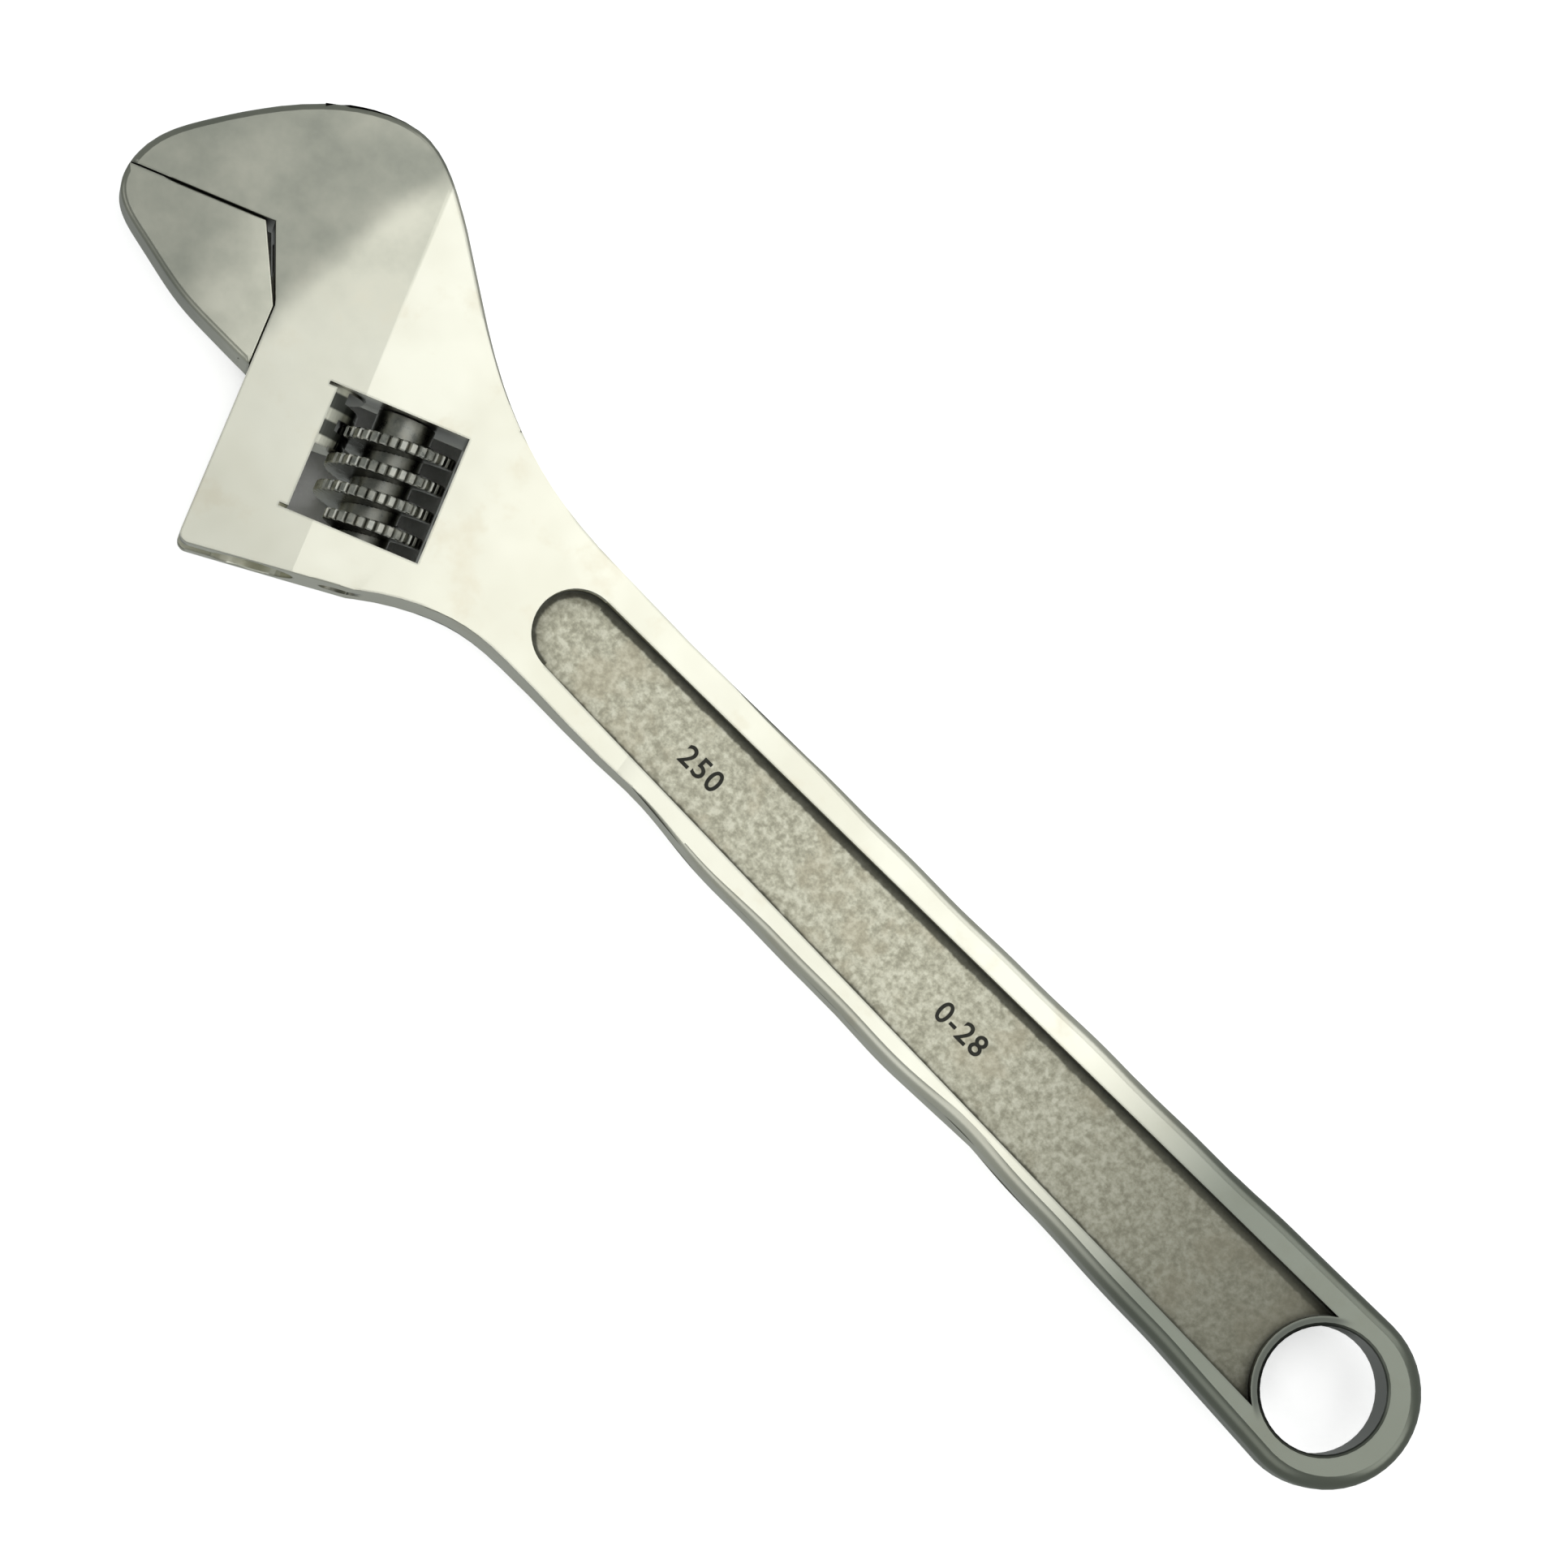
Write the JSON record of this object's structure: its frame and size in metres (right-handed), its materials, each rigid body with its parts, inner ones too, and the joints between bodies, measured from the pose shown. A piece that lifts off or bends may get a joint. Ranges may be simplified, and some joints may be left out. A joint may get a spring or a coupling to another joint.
{
  "type": "adjustable wrench",
  "caption": "Adjustable wrench with a recessed handle, a hanging hole, and a sliding jaw that a knurled adjusting screw opens and closes.",
  "frame": {"origin": "centre of the hanging hole at mid thickness", "axes": "+X along the handle to the head, +Y to the side that the sliding jaw opens to, +Z normal to the faces"},
  "size_m": [0.2533, 0.0638, 0.017],
  "materials": {
    "forging": "ground and lightly polished, warm grey, blasted in the recesses",
    "jaw": "ground and lightly polished, warm grey",
    "screw": "dark grey, knurled, worn bright on the crests",
    "pin": "turned, grey",
    "spring": "drawn spring wire"
  },
  "bodies": {
    "wrench_body": {"body": "forging", "worm_pin": "pin", "worm_spring": "spring"},
    "sliding_jaw": {"movable_jaw": "jaw"},
    "adjusting_screw": {"worm": "screw"}
  },
  "joints": [
    {"name": "worm_spin", "type": "hinge", "parent": "wrench_body", "child": "adjusting_screw", "pos_m": [0.18269, 0.00369, 0], "axis": [0.3827, -0.9239, 0], "range_deg": [0, 2520]},
    {"name": "jaw_slide", "type": "slide", "parent": "wrench_body", "child": "sliding_jaw", "axis": [-0.3827, 0.9239, 0], "range_m": [0, 0.028]}
  ],
  "couplings": [
    {"joint": "jaw_slide", "follows": "worm_spin", "m_per_rad": 0.00063662}
  ]
}
